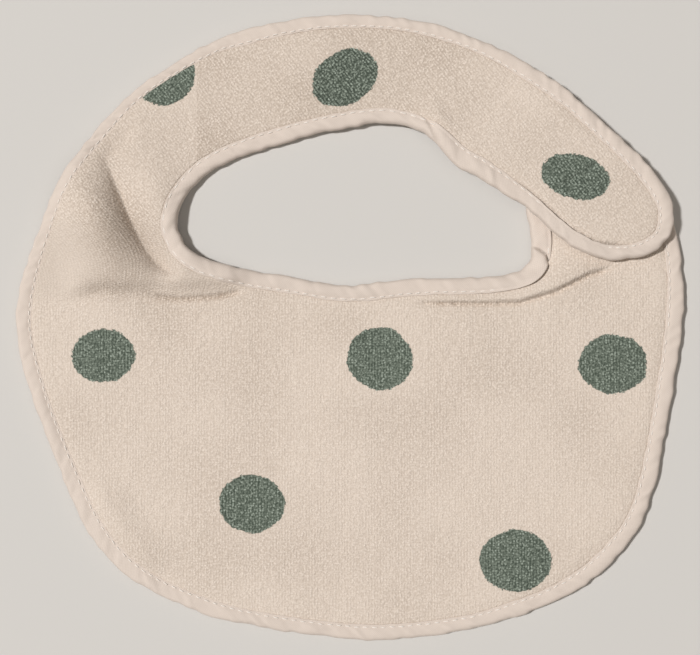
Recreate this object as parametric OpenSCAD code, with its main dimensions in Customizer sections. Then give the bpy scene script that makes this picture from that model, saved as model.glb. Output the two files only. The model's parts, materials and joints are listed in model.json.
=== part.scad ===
// Bound terry bib, lying closed on its back.
// X is across the chest, Y points to the nape and Z up, with the origin under the bib's middle.
// The cloth is one C: a panel, a left shoulder that runs on into a strap, and a tab at the right.
// The strap passes behind the neck, and its end presses onto the tab.

/* [Bib] */
// Width of the bib, from edge to edge
bib_w = 247; // [225:1:275]

/* [Cloth] */
// Thickness of the terry face, loops included
terry_t = 2.2; // [1.6:0.1:3]
// Thickness of the knitted lining
lining_t = 0.8; // [0.5:0.1:1.2]

/* [Binding] */
// Width of the binding that shows on each face
binding_w = 6.5; // [5:0.5:8]
// Thickness of the folded binding tape on each face
tape_t = 0.6; // [0.5:0.05:0.9]

/* [Stitching] */
// Distance of the stitching from the binding's inner fold
seam_margin = 1.2; // [0.7:0.1:2]
// Thickness of the thread
thread_d = 0.5; // [0.3:0.05:0.6]
// Height of the needle thread above the binding
thread_proud = 0.15; // [0:0.05:0.2]

/* [Closure] */
// Width of the hook patch
patch_w = 16; // [12:1:18]
// Length of the hook patch
patch_l = 26; // [20:1:28]
// How much wider and longer the loop patch is than the hook patch
loop_extra = 2; // [0:0.5:3]
// Radius of the patches' corners
patch_r = 3; // [2:0.5:5]
// Thickness of the loop patch
loop_t = 1; // [0.8:0.1:1.4]
// Thickness of the hook patch
hook_t = 1.3; // [1:0.1:1.6]
// Distance of the patches from the line where the strap end peels
patch_in = 22; // [20:0.5:24]

/* [Care label] */
// Width of the blank care label
label_w = 18; // [12:1:24]
// Length of the care label below the binding's edge
label_l = 25; // [18:1:40]
// Thickness of the care label
label_t = 0.3; // [0.2:0.05:0.3]

/* [Folds] */
// Distance of the collar's fold from the bib's middle
neck_fold_y = 7; // [6:0.5:7.5]
// Gap between two zones where the cloth folds
fold_gap = 0.3; // [0.2:0.05:0.5]

/* [Hidden] */
ZONES = ["panel", "collar", "strap", "end"];

// Layers, from the surface that the bib lies on
lining_z = tape_t;
terry_z = lining_z + lining_t;
top_z = terry_z + terry_t;
bound_t = top_z + tape_t;
groove_top = 0.2;
groove_under = 0.35;
groove_w = thread_d + 0.3;

// The loop patch lies on the tab's terry, and the hook patch hangs under the strap end
close_gap = 0.3;
loop_z = top_z;
lift = loop_z + loop_t + close_gap + hook_t - tape_t;
hook_z = lift + tape_t - hook_t;

// The cloth's edge, clockwise from the tab's hidden round end, on a bib 247 mm wide
tab_end = [[86, 70], [100, 65.5], [112, 54], [120, 39]];
right_side = [[123.5, 14], [119.5, -22], [111, -64.5], [99.5, -84]];
bottom = [[82, -98.5], [61, -107.5], [41, -113], [10, -116], [-20, -113.5], [-50, -107.5]];
left_side = [[-78.5, -95], [-96, -77], [-108, -52], [-119, -22], [-123.5, 4], [-116.5, 32]];
shoulder = [[-104.5, 59], [-84, 84], [-59, 101.5]];
strap_outer = [[-42, 109], [-12, 115], [20.5, 114], [50, 105], [77, 88.7]];
strap_tip = [[92, 76], [108, 60.5], [118, 46], [117.5, 32.5], [108, 25], [93, 24.2], [79, 31.2]];
strap_inner = [[65, 43], [50, 52.8], [38, 60], [28, 70], [12, 74.8], [-14, 70.7]];
neck_left = [[-42, 62], [-56, 53.5], [-63.5, 40], [-60, 29], [-46, 22.3]];
neck_front = [[-20, 17.8], [0, 15], [25, 17.4], [52, 18.2], [66, 22]];
tab_inner = [[67.5, 33], [65.5, 44], [71, 60]];

drawn_w = 247;
edge = (bib_w / drawn_w) * concat(
    tab_end, right_side, bottom, left_side, shoulder,
    strap_outer, strap_tip, strap_inner, neck_left, neck_front, tab_inner
);
edge_count = len(edge);

// Places along the edge, counted in its points
bottom_from = len(tab_end) + len(right_side);
open_outer = bottom_from + len(bottom) + len(left_side) + len(shoulder);
peel_outer = open_outer + len(strap_outer);
peel_inner = peel_outer + len(strap_tip);
open_inner = peel_inner + len(strap_inner);
span_steps = 4;

// Point on the smooth edge at place u: a Catmull-Rom curve through the edge's points
function at(u) =
    let (
        i = floor(u),
        t = u - i,
        a = edge[(i - 1 + edge_count) % edge_count],
        b = edge[i % edge_count],
        c = edge[(i + 1) % edge_count],
        d = edge[(i + 2) % edge_count]
    )
    b + t * (c - a) / 2
    + t * t * (2 * a - 5 * b + 4 * c - d) / 2
    + t * t * t * (3 * b - a - 3 * c + d) / 2;

function unit(v) = v / norm(v);
function inward(u) =
    let (t = unit(at(u + 0.05) - at(u - 0.05 + edge_count)))
    [t.y, -t.x];

// The edge between two places, moved into the cloth by d
function inset(from, to, d) = [
    for (k = [0 : (to - from) * span_steps])
        let (u = from + k / span_steps)
            at(u) + d * inward(u)
];

// Lines across the strap where it folds open and where its end peels
open_x = at(open_outer).x;
peel_a = at(peel_inner);
peel_b = at(peel_outer);
peel_angle = atan2(peel_b.y - peel_a.y, peel_b.x - peel_a.x);
patch_at = (peel_a + peel_b) / 2 + patch_in * [sin(peel_angle), -cos(peel_angle)];

big = 2 * bib_w;
fold_y = neck_fold_y * bib_w / drawn_w;
strap_cut_l = 50;
strap_cut_drop = 8;

// Flat outline of the base, or of the strap, with its edge moved in by d.
// Each runs a little past the fold line, where its zone then cuts it.
module whole(zone, d) {
    is_base = zone == "panel" || zone == "collar";
    from = is_base ? open_inner - 1 : open_outer - 1;
    to = is_base ? edge_count + open_outer + 1 : open_inner + 1;
    polygon(inset(from, to, d));
}

// The part of the plane that belongs to a flat zone
module zone_mask(zone) {
    half = fold_gap / 2;
    if (zone == "panel")
        translate([-big / 2, fold_y - half - big])
            square(big);
    if (zone == "collar")
        difference() {
            translate([-big / 2, fold_y + half])
                square(big);
            translate([open_x - half, at(open_inner).y - strap_cut_drop])
                square([strap_cut_l, big]);
        }
    if (zone == "end")
        translate(peel_a)
            rotate(peel_angle)
                translate([-big / 2, -half - big])
                    square(big);
}

function zone_z(zone) = zone == "end" ? lift : 0;

// A flat layer of cloth, its edge moved in by d
module layer(zone, d, z, h) {
    translate([0, 0, zone_z(zone) + z])
        linear_extrude(h)
            intersection() {
                zone_mask(zone);
                whole(zone, d);
            }
}

// A band along the edge, from d0 to d1 into the cloth
module band_2d(zone, d0, d1) {
    difference() {
        whole(zone, d0);
        whole(zone, d1);
    }
}

module band(zone, d0, d1, z, h) {
    translate([0, 0, zone_z(zone) + z])
        linear_extrude(h)
            intersection() {
                zone_mask(zone);
                band_2d(zone, d0, d1);
            }
}

// The same band left uncut, to take material away
module band_cutter(zone, d0, d1, z, h) {
    translate([0, 0, zone_z(zone) + z])
        linear_extrude(h)
            band_2d(zone, d0, d1);
}

// The strap rises from the shoulder to the top of the closure. At share t of its length
// it is straight from its outer edge to its inner edge.
strap_steps = 30;
end_share = 0.0015;
function outer_edge(t) = at(open_outer + t * (peel_outer - open_outer));
function inner_edge(t) = at(open_inner - t * (open_inner - peel_inner));
function strap_rise(t) = lift * t * t * (3 - 2 * t);
function strap_station(k) = end_share + (1 - 2 * end_share) * k / strap_steps;

// Profile points [distance in from the edge, height] set across the strap at share t
function set_across(profile, t, from_outer) =
    let (
        o = outer_edge(t),
        i = inner_edge(t),
        start = from_outer ? o : i,
        across = from_outer ? unit(i - o) : unit(o - i)
    )
    [for (p = profile) [each start + p.x * across, p.y + strap_rise(t)]];

// A solid skin over rings of points, closed at both ends
module skin(rings, flip) {
    n = len(rings[0]);
    last = len(rings) - 1;
    sides = [
        for (k = [0 : last - 1], j = [0 : n - 1])
            let (j2 = (j + 1) % n)
                each [
                    [k * n + j, k * n + j2, (k + 1) * n + j2],
                    [k * n + j, (k + 1) * n + j2, (k + 1) * n + j]
                ]
    ];
    start_cap = [[for (j = [n - 1 : -1 : 0]) j]];
    end_cap = [[for (j = [0 : n - 1]) last * n + j]];
    faces = concat(sides, start_cap, end_cap);
    polyhedron(
        points = [for (r = rings) each r],
        faces = flip ? faces : [for (f = faces) [for (j = [len(f) - 1 : -1 : 0]) f[j]]]
    );
}

// The same profile run along both edges of the strap
module along_strap(profile) {
    for (outer = [true, false])
        skin([for (k = [0 : strap_steps]) set_across(profile, strap_station(k), outer)], !outer);
}

// A layer of cloth between the two edges of the strap, moved in by d
module strap_layer(d, z, h) {
    function ring(t) =
        let (
            o = outer_edge(t),
            i = inner_edge(t),
            a = o + d * unit(i - o),
            b = i + d * unit(o - i),
            low = z + strap_rise(t)
        )
        [[each a, low], [each b, low], [each b, low + h], [each a, low + h]];
    skin([for (k = [0 : strap_steps]) ring(strap_station(k))], false);
}

// Terry and lining lie between the binding's two sides, with room where the strap bends
ply_room = 0.05;

module cloth(zone, z, h) {
    if (zone == "strap")
        strap_layer(tape_t + ply_room, z + ply_room, h - 2 * ply_room);
    else
        layer(zone, tape_t, z, h);
}

seam_in = binding_w - seam_margin;
groove_a = seam_in - groove_w / 2;
groove_b = seam_in + groove_w / 2;

// Section through the binding: folded over the edge, with a groove for each thread
binding_profile = [
    [0, 0], [groove_a, 0], [groove_a, groove_under], [groove_b, groove_under], [groove_b, 0],
    [binding_w, 0], [binding_w, tape_t], [tape_t, tape_t], [tape_t, top_z],
    [binding_w, top_z], [binding_w, bound_t], [groove_b, bound_t],
    [groove_b, bound_t - groove_top], [groove_a, bound_t - groove_top], [groove_a, bound_t],
    [0, bound_t]
];

module binding(zone) {
    if (zone == "strap")
        along_strap(binding_profile);
    else
        difference() {
            band(zone, 0, binding_w, 0, bound_t);
            band_cutter(zone, tape_t, binding_w + 1, tape_t, top_z - tape_t);
            band_cutter(zone, groove_a, groove_b, -1, 1 + groove_under);
            band_cutter(zone, groove_a, groove_b, bound_t - groove_top, 1);
            if (zone == "panel")
                label_end();
        }
}

module thread(zone, z, h) {
    half = thread_d / 2;
    if (zone == "strap")
        along_strap([
            [seam_in - half, z], [seam_in + half, z],
            [seam_in + half, z + h], [seam_in - half, z + h]
        ]);
    else
        band(zone, seam_in - half, seam_in + half, z, h);
}

module needle_thread(zone) {
    thread(zone, bound_t - groove_top, groove_top + thread_proud);
}

module bobbin_thread(zone) {
    thread(zone, 0, groove_under - ply_room);
}

// Flat patch with round corners
module patch_2d(w, l, r) {
    square([w, l - 2 * r], center = true);
    square([w - 2 * r, l], center = true);
    for (x = [-1, 1], y = [-1, 1])
        translate([x * (w / 2 - r), y * (l / 2 - r)])
            circle(r, $fn = 32);
}

// Closure patches lie along the strap end
module at_closure(z) {
    translate([patch_at.x, patch_at.y, z])
        rotate(peel_angle)
            children();
}

patch_seam_in = 1.5;

module patch_seam_2d(w, l, width) {
    difference() {
        patch_2d(w - 2 * patch_seam_in, l - 2 * patch_seam_in, patch_r - patch_seam_in / 2);
        patch_2d(
            w - 2 * patch_seam_in - 2 * width, l - 2 * patch_seam_in - 2 * width,
            patch_r - patch_seam_in / 2 - width
        );
    }
}

loop_w = patch_w + loop_extra;
loop_l = patch_l + loop_extra;

module loop_patch() {
    color("ivory")
        at_closure(loop_z)
            difference() {
                linear_extrude(loop_t)
                    patch_2d(loop_w, loop_l, patch_r);
                translate([0, 0, loop_t - thread_d])
                    linear_extrude(thread_d + 1)
                        patch_seam_2d(loop_w, loop_l, thread_d);
            }
}

module loop_patch_thread() {
    color("linen")
        at_closure(loop_z + loop_t - thread_d)
            linear_extrude(thread_d)
                patch_seam_2d(loop_w, loop_l, thread_d);
}

module hook_patch() {
    color("whitesmoke")
        at_closure(hook_z)
            difference() {
                linear_extrude(hook_t)
                    patch_2d(patch_w, patch_l, patch_r);
                translate([0, 0, -1])
                    linear_extrude(1 + thread_d)
                        patch_seam_2d(patch_w, patch_l, thread_d);
            }
}

module hook_patch_thread() {
    color("linen")
        at_closure(hook_z)
            linear_extrude(thread_d)
                patch_seam_2d(patch_w, patch_l, thread_d);
}

// The care label's end is caught between the lining and the binding
label_x = 30;
label_held = 3;
label_edge_y = min([
    for (u = [bottom_from : 0.125 : bottom_from + len(bottom) - 1])
        if (abs(at(u).x - label_x) < label_w / 2) at(u).y
]);

module label_end() {
    translate([label_x - label_w / 2, label_edge_y + label_held, tape_t - label_t])
        cube([label_w, binding_w, label_t + 0.01]);
}

module care_label() {
    color("white")
        translate([label_x - label_w / 2, label_edge_y + label_held, tape_t - label_t])
            cube([label_w, label_l + binding_w - label_held, label_t]);
}

module terry(zone) {
    color("antiquewhite")
        cloth(zone, terry_z, terry_t);
}

module lining(zone) {
    color("seashell")
        cloth(zone, lining_z, lining_t);
}

module bound(zone) {
    color("bisque")
        binding(zone);
}

module top_thread(zone) {
    color("linen")
        needle_thread(zone);
}

module under_thread(zone) {
    color("white")
        bobbin_thread(zone);
}

for (zone = ZONES) {
    terry(zone);
    lining(zone);
    bound(zone);
    top_thread(zone);
    under_thread(zone);
}
loop_patch();
loop_patch_thread();
hook_patch();
hook_patch_thread();
care_label();
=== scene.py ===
"""A bound terry bib that lies closed on a pale floor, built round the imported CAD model.

Lengths are in mm until a mesh is made.
"""

import json
import math

import bpy
import numpy as np
from mathutils import Matrix, Vector
from mathutils.kdtree import KDTree

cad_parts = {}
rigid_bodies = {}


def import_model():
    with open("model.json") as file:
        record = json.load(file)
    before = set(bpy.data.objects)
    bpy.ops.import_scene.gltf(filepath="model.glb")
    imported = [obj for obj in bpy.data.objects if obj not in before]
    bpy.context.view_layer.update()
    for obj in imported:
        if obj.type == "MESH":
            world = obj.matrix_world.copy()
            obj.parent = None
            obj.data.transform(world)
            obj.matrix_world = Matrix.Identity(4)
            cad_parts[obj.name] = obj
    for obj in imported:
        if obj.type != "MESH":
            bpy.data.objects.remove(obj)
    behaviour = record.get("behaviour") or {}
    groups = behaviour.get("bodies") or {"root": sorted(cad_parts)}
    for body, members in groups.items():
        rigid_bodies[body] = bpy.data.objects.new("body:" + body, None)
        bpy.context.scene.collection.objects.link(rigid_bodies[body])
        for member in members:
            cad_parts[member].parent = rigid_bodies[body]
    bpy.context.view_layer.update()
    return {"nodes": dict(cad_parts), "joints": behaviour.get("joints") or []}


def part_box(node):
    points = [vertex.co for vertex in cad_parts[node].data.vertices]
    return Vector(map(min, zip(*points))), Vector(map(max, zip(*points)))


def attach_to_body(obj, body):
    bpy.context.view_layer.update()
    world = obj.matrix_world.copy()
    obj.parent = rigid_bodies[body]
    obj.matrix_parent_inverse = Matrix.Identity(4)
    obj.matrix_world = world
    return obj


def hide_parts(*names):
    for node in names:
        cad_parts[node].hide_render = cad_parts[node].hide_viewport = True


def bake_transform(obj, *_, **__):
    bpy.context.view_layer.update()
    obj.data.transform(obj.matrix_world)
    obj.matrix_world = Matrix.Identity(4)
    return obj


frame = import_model()
MM = 0.001
ZONES = ("panel", "collar", "strap", "end")

# The tape's visible width, how far its seam is from the edge, and the seam's stitch length
BINDING_W = 6.1
SEAM_IN = 5.1
STITCH = 3.4
RINGS_PER_STITCH = 6

# The terry's finest cell, and how many of them span a cell of its underside
CELL = 0.57
COARSE = 3

# Heights over the cloth's own lift, and how far the cloths' cut edges are from the bib's edge
LINING_Z = 0.35
LINING_THICK = 0.45
BACKING_Z = 1.0
CLOTH_TOP = 3.6
TERRY_INSET = 2.0
LINING_INSET = 1.6

# Where one piece ends and the next begins: always in a part that doesn't bend
PANEL_CUT_Y = -1.0
STRAP_CUT_X = -56.0
END_CUT_X = 30.0

# The joint at which each zone folds, and half the length of the stretch across it that attach works out; the
# cloth is not bent over it
FOLDS = {"collar": ("neck_fold", 6.0), "strap": ("strap_open", 9.0), "end": ("closure_peel", 6.0)}
JOINTS = {joint["name"]: joint for joint in frame["joints"]}


# ---- numbers

def ramp(t):
    """Smooth step from 0 to 1."""
    t = np.clip(t, 0, 1)
    return t * t * (3 - 2 * t)


def noise(x, y, seed):
    """Smooth noise from -1 to 1 whose cells are 1 wide."""
    table = np.random.default_rng(seed).uniform(-1, 1, (256, 256))
    i, j = np.floor(x).astype(int), np.floor(y).astype(int)
    fx, fy = ramp(x - i), ramp(y - j)
    low = table[i % 256, j % 256] * (1 - fx) + table[(i + 1) % 256, j % 256] * fx
    high = table[i % 256, (j + 1) % 256] * (1 - fx) + table[(i + 1) % 256, (j + 1) % 256] * fx
    return low * (1 - fy) + high * fy


def unit(v):
    return v / np.maximum(np.linalg.norm(v, axis=-1, keepdims=True), 1e-12)


def turned(x, y, degrees):
    """Points as seen along axes turned by that many degrees."""
    c, s = math.cos(math.radians(degrees)), math.sin(math.radians(degrees))
    return x * c + y * s, -x * s + y * c


def closed_length(line):
    """Length in plan of a closed line."""
    return np.linalg.norm(np.diff(np.vstack([line, line[:1]])[:, :2], axis=0), axis=1).sum()


# ---- the bib's edge, from the CAD

LONGEST_EDGE = 20
UPWARD = 0.6


def top_edges(node):
    """Directed edges round a node's upward faces, without the straight cuts between two zones."""
    mesh = frame["nodes"][node].data
    index = {}
    ids = [index.setdefault(tuple(round(c / MM, 2) for c in v.co), len(index)) for v in mesh.vertices]
    points = np.array(list(index), float)
    edges = set()
    for face in mesh.polygons:
        if face.normal.z > UPWARD:
            loop = [ids[v] for v in face.vertices]
            for a, b in zip(loop, loop[1:] + loop[:1]):
                if (b, a) in edges:
                    edges.remove((b, a))
                elif a != b:
                    edges.add((a, b))
    pairs = [(points[a], points[b]) for a, b in sorted(edges)]
    return [(tuple(a), tuple(b)) for a, b in pairs if np.linalg.norm(a - b) < LONGEST_EDGE]


def chains(node):
    """A zone's free edges, each a list of points with the cloth on its left."""
    after = dict(top_edges(node))
    found = []
    for start in sorted(set(after) - set(after.values())):
        line = [start]
        while line[-1] in after:
            line.append(after.pop(line[-1]))
        found.append(np.array(line))
    return found


def whole_edge():
    """The zones' edges joined into one closed line."""
    left = [line for zone in ZONES for line in chains("terry_" + zone)]
    line = left.pop(0)
    while left:
        gaps = [np.linalg.norm(part[0] - line[-1]) for part in left]
        line = np.vstack([line, left.pop(int(np.argmin(gaps)))])
    return line


def spaced(line, count):
    """count points evenly along a closed line."""
    closed = np.vstack([line, line[:1]])
    along = np.concatenate([[0], np.cumsum(np.linalg.norm(np.diff(closed[:, :2], axis=0), axis=1))])
    at = np.linspace(0, along[-1], count, endpoint=False)
    return np.stack([np.interp(at, along, closed[:, k]) for k in range(closed.shape[1])], axis=1)


def smoothed(line, sigma):
    """The closed line with its corners rounded off over sigma points."""
    reach = int(3 * sigma)
    weights = np.exp(-0.5 * (np.arange(-reach, reach + 1) / sigma) ** 2)
    weights /= weights.sum()
    return sum(w * np.roll(line, -k, axis=0) for k, w in zip(range(-reach, reach + 1), weights))


def inward(line):
    """Unit vectors in plan from a closed line into the cloth on its left."""
    ahead = unit(np.roll(line, -1, axis=0)[:, :2] - np.roll(line, 1, axis=0)[:, :2])
    return np.stack([-ahead[:, 1], ahead[:, 0]], axis=1)


ROUGH_STEP = 0.5
CORNER_SOFTNESS = 2.2
CLOTH_INSET = 0.6

rough = whole_edge()
rough = smoothed(spaced(rough, int(closed_length(rough) / ROUGH_STEP)), CORNER_SOFTNESS / ROUGH_STEP)
rough[:, :2] -= CLOTH_INSET * inward(rough)
around = closed_length(rough)
EDGE = spaced(rough, round(around / STITCH) * RINGS_PER_STITCH)
EDGE_IN = inward(EDGE)
EDGE_STEP = around / len(EDGE)
EDGE_RISE = np.maximum(EDGE[:, 2] - CLOTH_TOP, 0)

# The edge is made to start where the strap's inner side leaves the shoulder, so the strap's points come first
strap_ends = np.array([p for line in chains("terry_strap") for p in (line[0], line[-1])])
at_shoulder = strap_ends[np.argsort(strap_ends[:, 0])[:2]]
inner_start, outer_start = at_shoulder[np.argsort(at_shoulder[:, 1])]


def nearest(point):
    return int(np.argmin(np.linalg.norm(EDGE[:, :2] - point[:2], axis=1)))


inner_index, outer_index = nearest(inner_start), nearest(outer_start)
EDGE = np.roll(EDGE, -inner_index, axis=0)
EDGE_IN = np.roll(EDGE_IN, -inner_index, axis=0)
EDGE_RISE = np.roll(EDGE_RISE, -inner_index)
strap_count = (outer_index - inner_index) % len(EDGE)
on_strap = np.arange(len(EDGE)) < strap_count
tip_index = int(np.argmax(np.where(on_strap, EDGE[:, 0], -1e9)))

# Where the tape shows wider or narrower than usual: a place on the edge, how far round it, and the share
WIDTHS = [((-74, 97), 32, -0.30), ((20, 113), 55, -0.14), ((78, 34), 20, -0.24), ((67.5, 33), 7, 0.24),
          ((44, 58), 15, 0.24), ((-112, 42), 32, -0.22), ((-92, -65), 40, 0.10)]
WIDTH_SOFTNESS = 8
EDGE_WIDE = np.full(len(EDGE), BINDING_W)
for spot, reach, share in WIDTHS:
    away = np.linalg.norm(EDGE[:, :2] - np.array(spot), axis=1)
    same_body = on_strap == on_strap[np.argmin(away)]
    EDGE_WIDE += BINDING_W * share * np.exp(-((away / reach) ** 2)) * same_body
EDGE_WIDE = smoothed(EDGE_WIDE[:, None], WIDTH_SOFTNESS)[:, 0]


class Line:
    """A stretch of the edge that points can be measured from."""

    def __init__(self, indices):
        self.at = EDGE[indices, :2]
        self.into = EDGE_IN[indices]
        self.rise = EDGE_RISE[indices]
        self.wide = EDGE_WIDE[indices]
        self.tree = KDTree(len(indices))
        for k, p in enumerate(self.at):
            self.tree.insert((p[0], p[1], 0), k)
        self.tree.balance()

    def near(self, x, y):
        return np.array([self.tree.find((a, b, 0))[1] for a, b in zip(x, y)], int)

    def depth(self, x, y):
        """How far inside the cloth each point is, below 0 outside it."""
        k = self.near(x, y)
        off = np.stack([x, y], axis=1) - self.at[k]
        away = np.linalg.norm(off, axis=1)
        across = (off * self.into[k]).sum(1)
        return np.where(away < 1, across, np.sign(across) * away)


# The strap's points and the others overlap by this many on both sides of the shoulder
MARGIN = 60
every = np.arange(len(EDGE))
base_line = Line(every[(~on_strap) | (every < MARGIN) | (np.abs(every - strap_count) < MARGIN)])
strap_line = Line(np.arange(-MARGIN, strap_count + MARGIN) % len(EDGE))
strap_inner = Line(np.arange(0, tip_index))
strap_outer = Line(np.arange(tip_index, strap_count))


# ---- how the cloth lies

def hill(x, y, cx, cy, sx, sy, turn, height):
    """A smooth hill, sx by sy across, turned by that many degrees."""
    a, b = turned(x - cx, y - cy, turn)
    return height * np.exp(-((a / sx) ** 2) - (b / sy) ** 2)


def off_line(x, y, line):
    """Distance from a line, above 0 on its left; how far along it; and its length."""
    line = np.array(line, float)
    best, side, along = np.full(x.shape, 1e9), np.zeros(x.shape), np.zeros(x.shape)
    start = 0
    for a, b in zip(line[:-1], line[1:]):
        d = b - a
        size = np.linalg.norm(d)
        t = np.clip(((x - a[0]) * d[0] + (y - a[1]) * d[1]) / size**2, 0, 1)
        px, py = x - a[0] - t * d[0], y - a[1] - t * d[1]
        off = np.hypot(px, py)
        near = off < best
        best = np.where(near, off, best)
        side = np.where(near, d[0] * py - d[1] * px, side)
        along = np.where(near, start + t * size, along)
        start += size
    return np.where(side > 0, best, -best), along, start


def ridge(x, y, line, height, left_w, right_w, taper=10, sharp=False):
    """A ridge along a line, left_w wide on its left and right_w on its right. Below 0 it is a crease.

    taper is the length over which it dies out, or one for each end. A sharp one has a V's section.
    """
    off, along, length = off_line(x, y, line)
    width = np.where(off > 0, left_w, right_w)
    first, last = taper if isinstance(taper, tuple) else (taper, taper)
    ends = ramp(along / first) * ramp((length - along) / last)
    if sharp:
        return height * ends * np.exp(-np.sqrt(off**2 + 0.09) / width)
    return height * ends * np.exp(-((off / width) ** 2))


def base_lift(x, y):
    """Height of the panel's and the collar's underside above the floor."""
    h = 0.35 + 0.25 * noise(x / 43 + 9, y / 38 + 4, 11) + 0.12 * noise(x / 15, y / 17, 12)
    # The shoulder's hump, the neck side of the valley, and the valley between them
    h += hill(x, y, -92.5, 39, 12, 21, 26, 9.6)
    h += hill(x, y, -68, 40, 9.5, 24, 22, 4.1)
    valley = [(-92, 66), (-86.6, 51.5), (-83, 43), (-79.6, 35.5),
              (-75, 28.2), (-71.3, 23), (-66.5, 20), (-60, 18)]
    h += ridge(x, y, valley, -5.4, 5.6, 2.3, (22, 11), True)
    h += ridge(x, y, [(-93, 58), (-86, 67), (-78, 74)], -1.1, 3.2, 3.2, 8)
    # Folds above the two creases under the neck
    h += ridge(x, y, [(-108, 13), (-95, 18), (-82, 17.5), (-66, 19), (-50, 19), (-34, 19)], 2.4, 8, 4.2, 14)
    h += ridge(x, y, [(-72, 16.5), (-58, 16.5), (-46, 17.5), (-34, 20)], 1.5, 6, 3.0, 10)
    right_fold = [(22, 10), (48, 9.9), (63, 10.2), (76, 14.2), (88, 20.3), (99, 24)]
    h += ridge(x, y, right_fold, 1.1, 7.5, 1.5, 16)
    h += ridge(x, y, right_fold[1:], 1.1, 7.5, 1.5, 20)
    # A gentle swell along the lower left edge
    h += ridge(x, y, [(-97, -54), (-88, -68), (-79, -81), (-66, -91)], 1.5, 6.5, 6, 14)
    return np.maximum(h, 0)


def strap_lift(x, y):
    """Height of the strap's underside: the CAD's rise from the shoulder to the closure, and its own waves."""
    near_in, near_out = strap_inner.near(x, y), strap_outer.near(x, y)
    d_in = np.hypot(x - strap_inner.at[near_in, 0], y - strap_inner.at[near_in, 1])
    d_out = np.hypot(x - strap_outer.at[near_out, 0], y - strap_outer.at[near_out, 1])
    rise = (strap_inner.rise[near_in] * d_out + strap_outer.rise[near_out] * d_in) / (d_in + d_out)
    own = 0.35 + 0.35 * noise(x / 30 + 3, y / 25 + 8, 13) + 0.12 * noise(x / 12, y / 12, 14)
    own += hill(x, y, -20, 90, 26, 17, 0, 1.2) + hill(x, y, 33, 74, 7, 9, 20, 1.3)
    blend = ramp((x - STRAP_CUT_X - 2) / 34)
    return np.maximum(base_lift(x, y) * (1 - blend) + (rise + own) * blend, 0)


# Sharp creases in the terry's face: a line, its depth and its half width
BASE_CREASES = [
    ([(-106, 9), (-88, 13.5), (-78, 12.2), (-66, 10)], 0.6, 2.2),
    ([(-74, 11), (-62, 9.8), (-50, 10.5), (-37, 13)], 1.6, 1.0),
    ([(24, 8.4), (48, 8.0), (63, 8.4), (76, 12.2), (88, 18.3), (99, 22)], 1.4, 0.75),
]
STRAP_CREASES = [
    ([(33, 86), (36, 79), (40, 71)], 0.5, 2.2),
    ([(73, 48), (84, 55), (95, 62)], 0.7, 0.9),
    ([(58, 54), (66.6, 48.2), (73.4, 42.2), (80.2, 35.6), (87.1, 31.6), (92.5, 29.6), (103, 29)], 1.2, 0.9),
]


def creased(x, y, creases):
    """The creases' depth. The loops part in them, so their sides are ragged."""
    ragged = 1 + 0.25 * noise(x / 1.2, y / 1.6, 25)
    return ragged * sum(ridge(x, y, line, -depth, half, half, 8) for line, depth, half in creases)


# ---- looks that depend on place

GRAIN_TURN = 38
GRAIN_SHIFT = -34.5
WALE = 1.1


def grain(x, y, is_strap):
    """Across and along the terry's ribs. The shoulder and the strap are the panel's cloth, but lie turned."""
    share = np.ones(x.shape) if is_strap else ramp((y - 8) / 34) * ramp((-20 - x) / 30)
    u, v = turned(x, y, GRAIN_TURN)
    return x * (1 - share) + (u + GRAIN_SHIFT) * share, y * (1 - share) + v * share


# Each printed spot: middle, half width, half height, turn in degrees. One lies across both areas
BASE_SPOTS = [
    (-69, 93.7, 12, 12, 0), (-91, -11, 11.7, 10, 0), (11.2, -12, 12.2, 11.6, -20),
    (97.1, -14.1, 12.8, 10.9, 0), (-36, -65.5, 12.2, 10.8, 0), (61, -86.5, 13.3, 11.5, 0),
]
STRAP_SPOTS = [(-69, 93.7, 12, 12, 0), (-1.6, 91.6, 12.9, 10, 33), (82.3, 54.5, 12.9, 8.3, -14)]


def spots(x, y, places):
    """How far inside the nearest spot each point is, in mm."""
    best = np.full(x.shape, -99.0)
    for cx, cy, rx, ry, turn in places:
        a, b = turned(x - cx, y - cy, turn)
        best = np.maximum(best, (1 - np.hypot(a / rx, b / ry)) * min(rx, ry))
    return best + 0.35 * noise(x / 5, y / 5, 15)


def gap_shade(x, y, is_strap, creases):
    """How much painted shade darkens the gaps between the loops, from 0 to 1: some at random, more on the
    strap and in the folds.
    """
    share = 0.11 + 0.22 * noise(x / 17 + 5, y / 17 + 2, 16)
    # Painted shade, deeper in the creases
    share += 0.5 * np.minimum(creased(x, y, creases) / 1.2, 0) ** 2
    if is_strap:
        share += 0.35 - 0.30 * ramp((x - 35) / 30)
    else:
        # Painted shade on the shoulder's slope down into the valley, and by the crease below it
        share += hill(x, y, -85, 35, 13, 29, 26, 0.85)
        share += ridge(x, y, [(-104, 10), (-92, 13), (-78, 13)], 0.4, 6, 4)
    return np.clip(share, 0, 1)


# ---- meshes

def normals_of(points, faces):
    """A normal for each point, from all the faces round it. A face is a row of point indices."""
    total = np.zeros_like(points)
    for rows in faces:
        a, b, c = points[rows[:, 0]], points[rows[:, 1]], points[rows[:, 2]]
        n = np.cross(b - a, c - a)
        for k in range(rows.shape[1]):
            np.add.at(total, rows[:, k], n)
    return unit(total)


def link(name, data):
    """A new object in the scene."""
    obj = bpy.data.objects.new(name, data)
    bpy.context.scene.collection.objects.link(obj)
    return obj


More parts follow.
